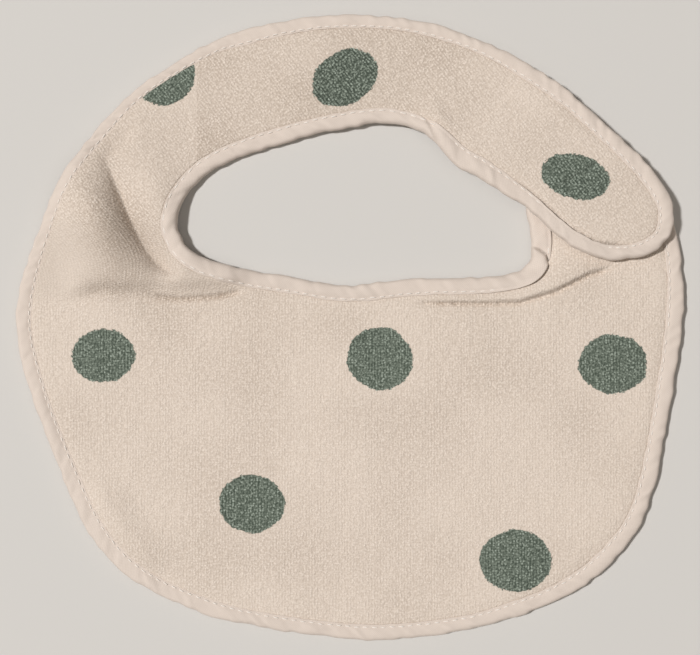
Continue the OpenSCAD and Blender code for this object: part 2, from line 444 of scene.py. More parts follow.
def build(name, points, faces, uv, values=None, normals=None):
    """A mesh object from points in mm. faces is a list of arrays, each with one number of corners."""
    used = np.unique(np.concatenate([rows.ravel() for rows in faces]))
    new = np.full(len(points), -1)
    new[used] = np.arange(len(used))
    mesh = bpy.data.meshes.new(name)
    corners = np.concatenate([new[rows].ravel() for rows in faces])
    sizes = np.concatenate([np.full(len(rows), rows.shape[1]) for rows in faces])
    starts = np.concatenate([[0], np.cumsum(sizes)[:-1]])
    mesh.vertices.add(len(used))
    mesh.vertices.foreach_set("co", (points[used] * MM).astype(np.float32).ravel())
    mesh.loops.add(len(corners))
    mesh.loops.foreach_set("vertex_index", corners.astype(np.int32))
    mesh.polygons.add(len(sizes))
    mesh.polygons.foreach_set("loop_start", starts.astype(np.int32))
    mesh.polygons.foreach_set("use_smooth", np.ones(len(sizes), bool))
    mesh.update(calc_edges=True)
    mesh.validate()
    layer = mesh.uv_layers.new(name="grain")
    layer.data.foreach_set("uv", uv[used][corners].astype(np.float32).ravel())
    for key, value in (values or {}).items():
        mesh.attributes.new(key, "FLOAT", "POINT").data.foreach_set("value", value[used].astype(np.float32))
    if normals is not None:
        mesh.normals_split_custom_set_from_vertices([tuple(n) for n in normals[used]])
    return link(name, mesh)


# The maps are in cm
UV_SCALE = 0.1


def corners_of(cells):
    """The grid points at the corners of the cells that are true."""
    rows, columns = cells.shape
    used = np.zeros((rows + 1, columns + 1), bool)
    for dj in (0, 1):
        for di in (0, 1):
            used[dj:dj + rows, di:di + columns] |= cells
    return used


def split(cells, count):
    """Each cell cut into count by count cells."""
    return np.kron(cells, np.ones((count, count), bool)).astype(bool)


class Slab:
    """A flat cloth with a fine top and a coarse underside, over the grid's cells that lie inside the edge.

    x and y are its points in plan, and top is true for those of its top.
    """

    def __init__(self, line, keep, box, inset, fine):
        self.big = CELL * COARSE
        x0, y0, x1, y1 = box
        i0, j0 = math.floor(x0 / self.big), math.floor(y0 / self.big)
        nx, ny = math.ceil(x1 / self.big) - i0, math.ceil(y1 / self.big) - j0
        gx, gy = np.meshgrid((np.arange(nx + 1) + i0) * self.big, (np.arange(ny + 1) + j0) * self.big)
        deep = line.depth(gx.ravel(), gy.ravel()).reshape(gx.shape) > inset
        cells = deep[:-1, :-1] & deep[1:, :-1] & deep[:-1, 1:] & deep[1:, 1:]
        self.middle = gx[:-1, :-1] + self.big / 2, gy[:-1, :-1] + self.big / 2
        self.cells = cells & keep(*self.middle)
        self.fine = fine
        step = self.big / fine
        fx, fy = np.meshgrid((np.arange(nx * fine + 1) + i0 * fine) * step,
                             (np.arange(ny * fine + 1) + j0 * fine) * step)
        upper, under = corners_of(split(self.cells, fine)), corners_of(self.cells)
        self.top_id, self.under_id = np.full(fx.shape, -1), np.full(gx.shape, -1)
        self.top_id[upper] = np.arange(upper.sum())
        self.under_id[under] = np.arange(under.sum()) + upper.sum()
        self.x = np.concatenate([fx[upper], gx[under]])
        self.y = np.concatenate([fy[upper], gy[under]])
        self.top = np.arange(len(self.x)) < upper.sum()

    def faces(self, part=None):
        """Faces of all the cells, or of those whose middles part(x, y) is true for."""
        cells = self.cells & part(*self.middle) if part else self.cells
        t, u, n = self.top_id, self.under_id, self.fine
        j, i = np.nonzero(split(cells, n))
        top = np.stack([t[j, i], t[j, i + 1], t[j + 1, i + 1], t[j + 1, i]], axis=1)
        j, i = np.nonzero(cells)
        under = np.stack([u[j, i], u[j + 1, i], u[j + 1, i + 1], u[j, i + 1]], axis=1)
        sides = []
        padded = np.pad(cells, 1)
        for dj, di, a, b in ((0, -1, (1, 0), (0, 0)), (0, 1, (0, 1), (1, 1)),
                             (-1, 0, (0, 0), (0, 1)), (1, 0, (1, 1), (1, 0))):
            open_side = cells & ~padded[1 + dj:padded.shape[0] - 1 + dj, 1 + di:padded.shape[1] - 1 + di]
            j, i = np.nonzero(open_side)
            ja, ia, jb, ib = j + a[0], i + a[1], j + b[0], i + b[1]
            row = [t[ja * (n - k) + jb * k, ia * (n - k) + ib * k] for k in range(n, -1, -1)]
            sides.append(np.stack([u[ja, ia], u[jb, ib]] + row, axis=1))
        return [top, under, np.concatenate(sides)]


def edge_rings(profile, lift, indices, swell):
    """Points of a profile, given as mm in from the edge and up, set round the edge and swelled."""
    share = EDGE_WIDE[indices, None, None] / BINDING_W
    more_in, more_up = swell(indices)
    p = EDGE[indices, None, :2] + EDGE_IN[indices, None] * profile[None, :, :1] * share
    p = (p + EDGE_IN[indices, None] * more_in[..., None]).reshape(-1, 2)
    z = (profile[None, :, 1] + more_up).ravel() + lift(p[:, 0], p[:, 1])
    return np.column_stack([p, z])


def ring_faces(rings, size):
    """Quads between rings that follow each other, each of size points."""
    k, j = np.meshgrid(np.arange(rings - 1), np.arange(size), indexing="ij")
    k, j, n = k.ravel(), j.ravel(), (j.ravel() + 1) % size
    return np.stack([k * size + j, k * size + n, (k + 1) * size + n, (k + 1) * size + j], axis=1)


def tube_faces(count, rings, sides):
    """Faces of count closed tubes whose points follow each other: the walls, then one cap and the other."""
    starts = np.arange(count)[:, None] * rings * sides
    walls = (ring_faces(rings, sides)[None] + starts[..., None]).reshape(-1, 4)
    around = np.arange(sides)
    return [walls, starts + around[::-1], starts + (rings - 1) * sides + around]


def plate_faces(shape):
    """Faces of a closed plate: a grid of points, the same grid again behind it, and the wall between them."""
    ids = np.arange(shape[0] * shape[1]).reshape(shape)
    quads = np.stack([ids[:-1, :-1], ids[1:, :-1], ids[1:, 1:], ids[:-1, 1:]], axis=-1).reshape(-1, 4)
    rim = np.concatenate([ids[:, 0], ids[-1, 1:], ids[-2::-1, -1], ids[0, -2:0:-1]])
    after = np.roll(rim, -1)
    wall = np.stack([rim + ids.size, after + ids.size, after, rim], axis=1)
    return [quads, quads[:, ::-1] + ids.size, wall]


# ---- zones

# Beyond the cut at the shoulder the base has no cloth behind the neck opening, as far as the tab
TAB_FROM_X = 57
OPENING_BACK_Y = 38


def in_base(x, y):
    return ~((x > STRAP_CUT_X) & (x < TAB_FROM_X) & (y > OPENING_BACK_Y))


def past_shoulder(x, y):
    return x > STRAP_CUT_X


# The areas that are made as one cloth, and the zones that each is cut into
BASE_PARTS = {"panel": lambda x, y: y < PANEL_CUT_Y, "collar": lambda x, y: y >= PANEL_CUT_Y}
STRAP_PARTS = {"strap": lambda x, y: x < END_CUT_X, "end": lambda x, y: x >= END_CUT_X}


def run(start, stop):
    """Edge indices from one place to another, the way that the edge goes."""
    return np.arange(start, stop + 1 if stop >= start else stop + 1 + len(EDGE)) % len(EDGE)


def edge_at(test, off):
    """Index of the edge point where off is nearest to 0, among those for which test is true."""
    return int(np.argmin(np.where(test, np.abs(off), 1e9)))


# Lines that tell one side of the cloth from the other at each cut
OPENING_Y, SHOULDER_Y, STRAP_Y, SIDE_X = 40, 80, 85, 60
# The tape is cut lower than the terry, so that the two cuts don't fall together
TAPE_CUT_Y = PANEL_CUT_Y - 3
ex, ey = EDGE[:, 0], EDGE[:, 1]
INNER_CUT = edge_at(~on_strap & (ey > OPENING_Y) & (ey < SHOULDER_Y), ex - STRAP_CUT_X)
OUTER_CUT = edge_at(~on_strap & (ey > SHOULDER_Y), ex - STRAP_CUT_X)
END_INNER = edge_at(on_strap & (ey < STRAP_Y), ex - END_CUT_X)
END_OUTER = edge_at(on_strap & (ey > STRAP_Y), ex - END_CUT_X)
LEFT_CUT = edge_at(ex < -SIDE_X, ey - TAPE_CUT_Y)
RIGHT_CUT = edge_at(ex > SIDE_X, ey - TAPE_CUT_Y)

# The edge runs: strap inner, tip, strap outer, shoulder, left side, bottom, right side, tab, neck
RUNS = {
    "panel": [run(LEFT_CUT, RIGHT_CUT)],
    "collar": [run(OUTER_CUT, LEFT_CUT), run(RIGHT_CUT, INNER_CUT)],
    "strap": [run(INNER_CUT, END_INNER), run(END_OUTER, OUTER_CUT)],
    "end": [run(END_INNER, END_OUTER)],
}
LIFT = {"panel": base_lift, "collar": base_lift, "strap": strap_lift, "end": strap_lift}


def attach(obj, zone):
    """A panel piece is parented to the panel's body; another zone's piece has its transform applied to its
    mesh, and its fold's stretch is worked out but not used to bend it.
    """
    if zone == "panel":
        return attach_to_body(obj, "panel")
    name, half = FOLDS[zone]
    joint = JOINTS[name]
    pivot, axis = Vector(joint["pos_m"]), Vector(joint["axis"])
    across = Vector((0, 0, 1)).cross(axis).normalized()
    start, end = pivot - across * half * MM, pivot + across * half * MM
    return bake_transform(obj, joint["parent"], joint["child"], start=tuple(start), end=tuple(end))


# ---- materials

class Nodes:
    """Short calls for making a material's nodes."""

    def __init__(self, name, rough, sheen=0.0, sheen_rough=0.5, specular=0.3):
        self.material = bpy.data.materials.new(name)
        self.material.use_nodes = True
        self.tree = self.material.node_tree
        self.shader = self.tree.nodes["Principled BSDF"]
        for key, value in (("Roughness", rough), ("Sheen Weight", sheen), ("Sheen Roughness", sheen_rough),
                           ("Specular IOR Level", specular)):
            self.shader.inputs[key].default_value = value

    def node(self, kind, inputs=None, **settings):
        node = self.tree.nodes.new(kind)
        for key, value in settings.items():
            setattr(node, key, value)
        for key, value in (inputs or {}).items():
            if isinstance(value, bpy.types.NodeSocket):
                self.tree.links.new(value, node.inputs[key])
            else:
                node.inputs[key].default_value = value
        return node

    def add(self, kind, out=0, inputs=None, **settings):
        return self.node(kind, inputs, **settings).outputs[out]

    def plus(self, a, b):
        return self.add("ShaderNodeMath", inputs={0: a, 1: b}, operation="ADD")

    def minus(self, a, b):
        return self.add("ShaderNodeMath", inputs={0: a, 1: b}, operation="SUBTRACT")

    def times(self, a, b):
        return self.add("ShaderNodeMath", inputs={0: a, 1: b}, operation="MULTIPLY")

    def mix(self, share, a, b):
        return self.add("ShaderNodeMix", 2, {0: share, 6: a, 7: b}, data_type="RGBA")

    def remap(self, value, low, high, to_low=0.0, to_high=1.0):
        return self.add("ShaderNodeMapRange", inputs={0: value, 1: low, 2: high, 3: to_low, 4: to_high})

    def uv(self, scale=(1, 1, 1), turn=0.0):
        grain_map = self.add("ShaderNodeUVMap", uv_map="grain")
        return self.add("ShaderNodeMapping", inputs={0: grain_map, 3: scale, 2: (0, 0, math.radians(turn))})

    def noise(self, vector, scale, detail=2.0):
        return self.add("ShaderNodeTexNoise", inputs={"Vector": vector, "Scale": scale, "Detail": detail})

    def wave(self, vector, scale, distortion=0.0, detail=1.0, direction="X"):
        inputs = {"Vector": vector, "Scale": scale, "Distortion": distortion, "Detail": detail}
        return self.add("ShaderNodeTexWave", 1, inputs, bands_direction=direction)

    def finish(self, colour, height, strength, distance):
        self.tree.links.new(colour, self.shader.inputs["Base Color"])
        inputs = {"Strength": strength, "Distance": distance * MM, "Height": height}
        bump = self.add("ShaderNodeBump", inputs=inputs)
        self.tree.links.new(bump, self.shader.inputs["Normal"])
        return self.material


def per_cm(pitch_mm):
    """The scale at which a wave texture, which repeats every 0.314 / scale, has that pitch."""
    return 0.314159 / (pitch_mm * UV_SCALE)


TERRY = (0.835, 0.733, 0.640, 1)
# Painted shade between the loops; also the colour of the random darker patches
TERRY_GAP_SHADE_AND_MOTTLE = (0.640, 0.543, 0.457, 1)
# Painted shade deep in the gaps between the loops, where they are most shaded
TERRY_DEEP_SHADE = (0.400, 0.322, 0.255, 1)
BINDING = (0.695, 0.603, 0.530, 1)
# Partly painted shade between the tape's threads, partly the darker slubs
BINDING_SHADE_AND_SLUB = (0.620, 0.532, 0.462, 1)
SPOT = (0.218, 0.252, 0.205, 1)
# Painted shade in the print's gaps between loops
SPOT_GAP_SHADE = (0.058, 0.076, 0.057, 1)
# Painted highlight on the print's loop tips
SPOT_TIP_HIGHLIGHT = (0.475, 0.540, 0.468, 1)
# Painted shade deep in the print's gaps, where the loops are most shaded
SPOT_DEEP_SHADE = (0.040, 0.052, 0.040, 1)
# One strand of the pile
STRAND_W, STRAND_L = 1.0, 0.85


def terry_material():
    m = Nodes("terry_print", 0.95, sheen=0.15, sheen_rough=0.6, specular=0.1)
    uv = m.uv()
    # One cell for each loop of the pile, in ribs that wander a little
    drift = m.add("ShaderNodeTexNoise", 1, {"Vector": uv, "Scale": 5.0, "Detail": 2.0})
    drift = m.add("ShaderNodeVectorMath", inputs={0: drift, "Scale": 0.10}, operation="SCALE")
    moved = m.add("ShaderNodeVectorMath", inputs={0: uv, 1: drift}, operation="ADD")
    size = (0.1 / (STRAND_W * UV_SCALE), 0.1 / (STRAND_L * UV_SCALE), 1)
    placed = m.add("ShaderNodeMapping", inputs={0: moved, 3: size})
    cells = m.node("ShaderNodeTexVoronoi", {"Vector": placed, "Scale": 10.0, "Randomness": 0.75})
    chance = m.node("ShaderNodeSeparateColor", {0: cells.outputs["Color"]}).outputs
    loop = m.remap(cells.outputs["Distance"], 0.05, 0.65, 1.0, 0.0)
    strands = m.noise(m.uv(scale=(1.25, 0.85, 1)), 15)
    fine = m.noise(uv, 34)
    ribs = m.wave(moved, per_cm(WALE), 0.0, 0.0)
    cloudy = m.noise(uv, 1.1, 3)
    tall = m.times(m.minus(chance[1], 0.5), 0.35)
    height = m.times(m.remap(strands, 0.3, 0.7), 0.40)
    height = m.plus(m.times(loop, 0.45), height)
    height = m.plus(height, m.times(m.times(loop, tall), 0.6))
    height = m.plus(height, m.times(m.remap(fine, 0.3, 0.7), 0.18))
    height = m.plus(height, m.times(ribs, 0.16))
    # Painted shade: the terry is darker where its loops are low, between them
    ground = m.mix(m.remap(height, 0.25, 1.0), TERRY_GAP_SHADE_AND_MOTTLE, TERRY)
    # Random darker patches, in the same colour
    ground = m.mix(m.remap(cloudy, 0.3, 0.7, 0.0, 0.10), ground, TERRY_GAP_SHADE_AND_MOTTLE)
    # Painted shade in the gaps between the loops, deepest in the creases and on the valley's slope
    gap_shade_share = m.add("ShaderNodeAttribute", 2, attribute_name="gap_shade")
    ground = m.mix(m.times(gap_shade_share, m.remap(height, 0.84, 0.26)), ground, TERRY_DEEP_SHADE)
    inside = m.add("ShaderNodeAttribute", 2, attribute_name="spot")
    # The print's rim steps from loop to loop
    ragged = m.times(m.minus(chance[0], 0.5), 0.6)
    ragged = m.plus(ragged, m.times(m.minus(loop, 0.6), 0.25))
    printed = m.remap(m.plus(inside, ragged), -0.12, 0.12)
    # Painted shade: the print is darker where its loops are low, between them
    ink = m.mix(m.remap(height, 0.25, 0.75), SPOT_GAP_SHADE, SPOT)
    # Painted highlight on the print's loop tips, stronger on some loops than others at random
    tips = m.times(m.remap(height, 0.62, 1.0), m.remap(chance[2], 0.2, 0.95, 0.25, 1.0))
    ink = m.mix(tips, ink, SPOT_TIP_HIGHLIGHT)
    # Painted shade deep in the print's gaps, from the same gap_shade attribute
    ink = m.mix(m.times(gap_shade_share, m.remap(height, 0.64, 0.34)), ink, SPOT_DEEP_SHADE)
    return m.finish(m.mix(printed, ground, ink), height, 0.6, 0.4)


def woven_material():
    """Plain weave, cut on the bias."""
    m = Nodes("bias_binding", 0.8, sheen=0.15, specular=0.25)
    across = m.wave(m.uv(turn=45), per_cm(0.55), 0.4, 1.0)
    along = m.wave(m.uv(turn=45), per_cm(0.55), 0.4, 1.0, "Y")
    threads = m.times(m.plus(across, along), 0.5)
    slub = m.noise(m.uv(), 3.0, 3)
    fuzz = m.noise(m.uv(), 60)
    share = m.plus(m.times(threads, 0.5), m.times(slub, 0.5))
    # Partly painted shade between the threads, partly slubs that differ in tone at random
    colour = m.mix(m.remap(share, 0.15, 0.65), BINDING_SHADE_AND_SLUB, BINDING)
    height = m.plus(threads, m.times(fuzz, 0.4))
    return m.finish(colour, height, 0.35, 0.12)


def knit_material():
    m = Nodes("lining_knit", 0.85, sheen=0.15, specular=0.2)
    columns = m.wave(m.uv(), per_cm(1.0), 0.2, 1.0)
    slant = m.wave(m.uv(turn=35), per_cm(0.8), 0.2, 1.0, "Y")
    height = m.times(m.plus(columns, m.times(slant, 0.7)), 0.6)
    # Painted shade: the knit is darker in its low parts, lighter on its raised stitches
    colour = m.mix(m.remap(height, 0.1, 0.9), (0.60, 0.52, 0.44, 1), (0.80, 0.73, 0.65, 1))
    return m.finish(colour, height, 0.5, 0.2)


def thread_material():
    m = Nodes("sewing_thread", 0.55, sheen=0.2, specular=0.45)
    twist = m.wave(m.uv(turn=35), per_cm(0.45), 0.2, 1.0)
    # Painted shade in the grooves between the plies, lighter on their crests
    colour = m.mix(twist, (0.78, 0.71, 0.64, 1), (0.88, 0.82, 0.76, 1))
    return m.finish(colour, twist, 0.4, 0.05)


def pile_material(name, high, low, rough):
    m = Nodes(name, rough, sheen=0.2, specular=0.3)
    tufts = m.noise(m.uv(), 22, 4)
    # Painted shade between the tufts, lighter on their tops
    colour = m.mix(m.remap(tufts, 0.3, 0.7), low, high)
    return m.finish(colour, tufts, 0.5, 0.2)


def satin_material():
    m = Nodes("label_satin", 0.42, sheen=0.1, specular=0.5)
    rows = m.wave(m.uv(), per_cm(0.3), 0.1, 1.0, "Y")
    # Painted shade between the woven rows, lighter on the rows
    colour = m.mix(rows, (0.80, 0.79, 0.76, 1), (0.88, 0.87, 0.84, 1))
    return m.finish(colour, rows, 0.25, 0.05)


MATERIALS = {
    "terry": terry_material(),
    "lining": knit_material(),
    "binding": woven_material(),
    "thread": thread_material(),
    "loop_pile": pile_material("loop_pile", (0.84, 0.80, 0.74, 1), (0.66, 0.62, 0.56, 1), 0.8),
    "hook_tape": pile_material("hook_tape", (0.82, 0.79, 0.74, 1), (0.70, 0.67, 0.61, 1), 0.5),
    "label": satin_material(),
}


def finished(obj, slot, zone, node):
    """Gives a piece the material of its slot, passes it to attach for its zone, and hides the CAD node that
    it stands for.
    """
    obj.data.materials.append(MATERIALS[slot])
    attach(obj, zone)
    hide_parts(node)


def lay_sheet(obj):
    """Returns a cloth piece as it is."""
    return obj


# ---- terry and lining

# One loop of the pile's relief
LOOP_W, LOOP_L = 0.95, 1.15


def terry_top(x, y, grain_at, inside, lift, creases):
    """Height of the terry's loops above the floor. inside is how far each point is from the tape's fold."""
    u, v = grain_at
    full = ramp((inside + 0.1) / 1.6)
    # On the bib's right half the loops lie a little below the tape's fold, on its left half level with it
    dip = ramp((x + 70) / 60) * (0.12 + 0.22 * np.exp(-(((inside - 0.3) / 0.8) ** 2)))
    loft = 2.75 + 1.10 * ramp((inside + 0.9) / 1.0) + 0.20 * ramp(inside / 4) - dip
    pile = 0.10 * noise(u / LOOP_W, v / LOOP_L, 22) + 0.05 * noise(u / 0.6 + 7, v / 0.6, 23)
    tufts = 0.06 * noise(u / 3.1 + 2, v / 4.3, 24)
    return lift + loft + full * (pile + tufts) + ramp(inside + 1.2) * creased(x, y, creases)


def make_cloth(line, keep, box, lift, places, creases, is_strap, parts):
    """The terry and its lining over one area, each cut into the parts."""
    terry = Slab(line, keep, box, TERRY_INSET, COARSE)
    x, y = terry.x[terry.top], terry.y[terry.top]
    inside = line.depth(x, y) - line.wide[line.near(x, y)]
    z = BACKING_Z + lift(terry.x, terry.y)
    z[terry.top] = terry_top(x, y, grain(x, y, is_strap), inside, lift(x, y), creases)
    points = np.column_stack([terry.x, terry.y, z])
    uv = np.column_stack(grain(terry.x, terry.y, is_strap)) * UV_SCALE
    values = {"spot": spots(terry.x, terry.y, places),
              "gap_shade": gap_shade(terry.x, terry.y, is_strap, creases)}
    normals = normals_of(points, terry.faces()[:2])
    lining = Slab(line, keep, box, LINING_INSET, 1)
    z = LINING_Z + LINING_THICK * lining.top + lift(lining.x, lining.y)
    lining_points = np.column_stack([lining.x, lining.y, z])
    lining_uv = lining_points[:, :2] * UV_SCALE
    lining_normals = normals_of(lining_points, lining.faces()[:2])
    for zone, part in parts.items():
        faces = terry.faces(part)
        obj = build("terry_face_" + zone, points, faces, uv, values, normals)
        finished(obj, "terry", zone, "terry_" + zone)
        lay_sheet(obj)
        faces = lining.faces(part)
        obj = build("lining_sheet_" + zone, lining_points, faces, lining_uv, None, lining_normals)
        finished(obj, "lining", zone, "lining_" + zone)
        lay_sheet(obj)


BASE_BOX = (-124, -118, 124, 116)
STRAP_BOX = (-60, 20, 124, 118)
make_cloth(base_line, in_base, BASE_BOX, base_lift, BASE_SPOTS, BASE_CREASES, False, BASE_PARTS)
make_cloth(strap_line, past_shoulder, STRAP_BOX, strap_lift, STRAP_SPOTS, STRAP_CREASES, True, STRAP_PARTS)


# ---- binding

# The tape's section: distance in from the bib's edge, and height. First its outer face, from the fold on top
# round the edge to the fold underneath, then its inner face back again
OUTSIDE = [
    (6.10, 3.38), (6.10, 3.56), (5.96, 3.70), (5.72, 3.80), (5.45, 3.80), (5.10, 3.72), (4.75, 3.82),
    (4.30, 3.97), (3.70, 4.04), (3.00, 4.08), (2.30, 4.08), (1.60, 4.02), (1.05, 3.86), (0.60, 3.56),
    (0.25, 3.05), (0.06, 2.40), (0.04, 1.75), (0.24, 1.10), (0.75, 0.55), (1.60, 0.16), (2.60, 0.02),
    (3.60, 0.03), (4.50, 0.12), (5.10, 0.30), (5.60, 0.16), (5.95, 0.18), (6.10, 0.42),
]
INSIDE = [(5.90, 0.62), (5.10, 0.80), (3.60, 0.60), (2.20, 0.62), (1.20, 1.15), (0.75, 1.95),
          (1.20, 2.95), (2.20, 3.50), (3.60, 3.55), (5.10, 3.20), (5.90, 3.28)]
PROFILE = np.array(OUTSIDE + INSIDE)
PROFILE_RUN = np.concatenate([[0], np.cumsum(np.linalg.norm(np.diff(PROFILE, axis=0), axis=1))])

# Where the binding rolls up: a place on the edge, how far round it, and how high
ROLLS = [((58, 18.5), 10, 0.5), ((84, 27.5), 11, 1.0), ((72, 36), 10, 0.8), ((30, 67), 6, 0.6),
         ((-62, 34), 20, 0.3)]
# At the tight corner by the tab the front's tape curls over the tab's: the line of its free edge
CURL = [(58, 12.0), (66.6, 14.4), (71.2, 17.8), (73.0, 21.8), (72.0, 25.8), (69.2, 28.4), (63, 31)]
CURL_UP, CURL_DOWN = 1.5, 1.0
# A short fold across the strap's inner tape
KINK = [(27, 80), (30, 74), (32.5, 65)]


def curled(x, y):
    """The step in the tape where it curls over itself."""
    off, along, length = off_line(x, y, CURL)
    ends = ramp((along - 2) / 12) * ramp((length - along) / 4)
    over = CURL_UP * np.exp(-((np.maximum(off, 0) - 1.6) / 2.6) ** 2) * ramp(off / 0.9 + 0.5)
    below = -CURL_DOWN * np.exp(-np.maximum(-off, 0) / 1.6) * (1 - ramp(off / 0.9 + 0.5))
    return ends * (over + below)


def pucker(indices):
    """How the stitching gathers the tape: how far each point of its rings moves in from the edge, and up."""
    s = indices * EDGE_STEP
    d, z = PROFILE[:, 0], PROFILE[:, 1]
    top = np.clip((z - 1.9) / 1.6, 0, 1)[None, :]
    rim = np.exp(-((d - 0.6) / 1.6) ** 2)[None, :]
    crown = np.exp(-((d - 2.9) / 1.7) ** 2)[None, :]
    at_seam = np.exp(-((d - SEAM_IN) / 0.55) ** 2)[None, :]
    flap = np.exp(-((d - BINDING_W) / 0.5) ** 2)[None, :]
    phase = 2 * math.pi * indices / RINGS_PER_STITCH
    # The waves lean, because the tape is cut on the bias
    lean = s[:, None] + 0.9 * d[None, :]
    slow = noise(lean / 6.5, 0 * lean + 3, 31)
    mid = noise(lean / 2.4, 0 * lean + 5, 32)
    small = noise(lean / 1.25, d[None, :] / 3 + 0 * lean, 37)
    wander = noise(s / 15, 0 * s, 33)[:, None] * 0.48 + noise(s / 3.1, 0 * s + 9, 34)[:, None] * 0.34
    pulled = at_seam * 0.08 * (0.5 + 0.5 * np.cos(phase))[:, None]
    up = crown * (0.32 * slow + 0.25 * mid + 0.06 * small) * top - pulled * top
    up = up + flap * 0.08 * noise(s / 3 + 2, 0 * s + 7, 35)[:, None] * top + rim * 0.16 * mid
    into = rim * (wander + 0.10 * slow) + flap * 0.16 * noise(s / 2.8, 0 * s + 4, 36)[:, None]
    for spot, reach, height in ROLLS:
        away = np.linalg.norm(EDGE[indices, :2] - np.array(spot), axis=1)
        roll = (height * np.exp(-((away / reach) ** 2)))[:, None]
        up = up + roll * (0.35 + 0.65 * np.clip(d / BINDING_W, 0, 1))[None, :] * top
    place = EDGE[indices, None, :2] + EDGE_IN[indices, None] * d[None, :, None]
    x, y = place[..., 0], place[..., 1]
    kink = ridge(x, y, KINK, -0.9, 1.3, 0.8, 3)
    up = up + np.where(on_strap[indices][:, None], kink, curled(x, y)) * top
    return into, up


def make_binding(zone):
    """The tape over one zone's stretches of the edge, each a closed strip that laps round the cloth."""
    points, faces, uvs, normals, length = [], [], [], [], 0
    n = len(PROFILE)
    for indices in RUNS[zone]:
        # One ring more at both ends, so that the normals agree with the next zone's
        wide = (np.arange(-1, len(indices) + 1) + indices[0]) % len(EDGE)
        ring = edge_rings(PROFILE, LIFT[zone], wide, pucker)
        smooth = normals_of(ring, [ring_faces(len(wide), n)[:, ::-1]])
        first = sum(len(p) for p in points)
        points.append(ring[n:-n])
        normals.append(smooth[n:-n])
        s = np.repeat((np.arange(len(indices)) + indices[0]) * EDGE_STEP, n)
        uvs.append(np.column_stack([s, np.tile(PROFILE_RUN, len(indices))]) * UV_SCALE)
        walls, cap, other = tube_faces(1, len(indices), n)
        faces += [walls[:, ::-1] + first, cap[:, ::-1] + first, other[:, ::-1] + first]
        length += (len(indices) - 1) * EDGE_STEP
    obj = build("binding_tape_" + zone, np.vstack(points), faces, np.vstack(uvs), None, np.vstack(normals))
    finished(obj, "binding", zone, "binding_" + zone)


for zone in ZONES:
    make_binding(zone)


# ---- stitches

def stitch_arch(count):
    """How a stitch rises between its two holes, from 0 to 1."""
    return np.sin(np.linspace(0, math.pi, count)) ** 0.6


def stitch_tube(path, radius, sides, plies=3):
    """Points of a short twisted thread along a path, thinner at its ends."""
    n = len(path)
    ahead = unit(np.gradient(path, axis=0))
    side = unit(np.cross(ahead, [0, 0, 1.0]))
    up = np.cross(side, ahead)
    angle = np.linspace(0, 2 * math.pi, sides, endpoint=False)
    taper = np.sqrt(np.clip(1 - np.abs(np.linspace(-1, 1, n)) ** 6, 0.05, 1))
    twist = np.linspace(0, 2.2 * math.pi, n)
    r = radius * taper[:, None] * (1 + 0.13 * np.cos(plies * angle[None, :] - twist[:, None]))
    ring = path[:, None] + r[..., None] * (
        side[:, None] * np.cos(angle)[None, :, None] + up[:, None] * np.sin(angle)[None, :, None])
    return ring.reshape(-1, 3)


STITCH_POINTS = 7
STITCH_SIDES = 8
STITCH_SHARE = 0.66
THREAD_R = 0.23
# Each thread's height at the seam, and how far its stitches arch out from there
SEAM_THREADS = {"needle": (3.66, 0.30), "bobbin": (0.42, -0.16)}
random = np.random.default_rng(5)


def make_stitches(zone, kind):
    """The seam's separate stitches on one face of the bib."""
    z_seam, bulge = SEAM_THREADS[kind]
    points, uvs = [], []
    for indices in RUNS[zone]:
        first_stitch = math.ceil(indices[0] / RINGS_PER_STITCH)
        count = (len(indices) - 1) // RINGS_PER_STITCH
        for k in range(first_stitch, first_stitch + count):
            start = k * RINGS_PER_STITCH
            stop = start + RINGS_PER_STITCH * (STITCH_SHARE + 0.05 * random.uniform(-1, 1))
            at = np.linspace(start + 0.12, stop, STITCH_POINTS)
            low = np.floor(at).astype(int)
            part = (at - low)[:, None]
            low %= len(EDGE)
            p = EDGE[low, :2] * (1 - part) + EDGE[(low + 1) % len(EDGE), :2] * part
            sway = random.uniform(-0.12, 0.12)
            sway = sway + np.linspace(-1, 1, STITCH_POINTS) * random.uniform(-0.1, 0.1)
            p = p + EDGE_IN[low] * (SEAM_IN * EDGE_WIDE[low] / BINDING_W + sway)[:, None]
            z = z_seam + bulge * stitch_arch(STITCH_POINTS) + LIFT[zone](p[:, 0], p[:, 1])
            radius = THREAD_R * random.uniform(0.92, 1.08)
            points.append(stitch_tube(np.column_stack([p, z]), radius, STITCH_SIDES))
            a, b = np.meshgrid(np.arange(STITCH_POINTS) * 0.4, np.arange(STITCH_SIDES) * 0.2, indexing="ij")
            uvs.append(np.column_stack([a.ravel() + k, b.ravel()]) * UV_SCALE)
    faces = tube_faces(len(points), STITCH_POINTS, STITCH_SIDES)
    obj = build(kind + "_stitches_" + zone, np.vstack(points), faces, np.vstack(uvs))
    finished(obj, "thread", zone, kind + "_thread_" + zone)


for zone in ZONES:
    for kind in SEAM_THREADS:
        make_stitches(zone, kind)


# ---- closure and label

PATCH_STEP = 0.5
PATCH_CORNER = 3.0
PATCH_THICK = 0.55
LOOP_PATCH_SIZE = (18, 28)
HOOK_PATCH_SIZE = (16, 26)


def patch_frame(node):
    """Middle of a closure patch and the two directions along its sides, from the peel line."""
    low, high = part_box(node)
    middle = (low + high) / 2 / MM
    axis = Vector(JOINTS["closure_peel"]["axis"]).normalized()
    wide = np.array([-axis.x, -axis.y])
    return np.array([middle.x, middle.y]), wide, np.array([wide[1], -wide[0]])


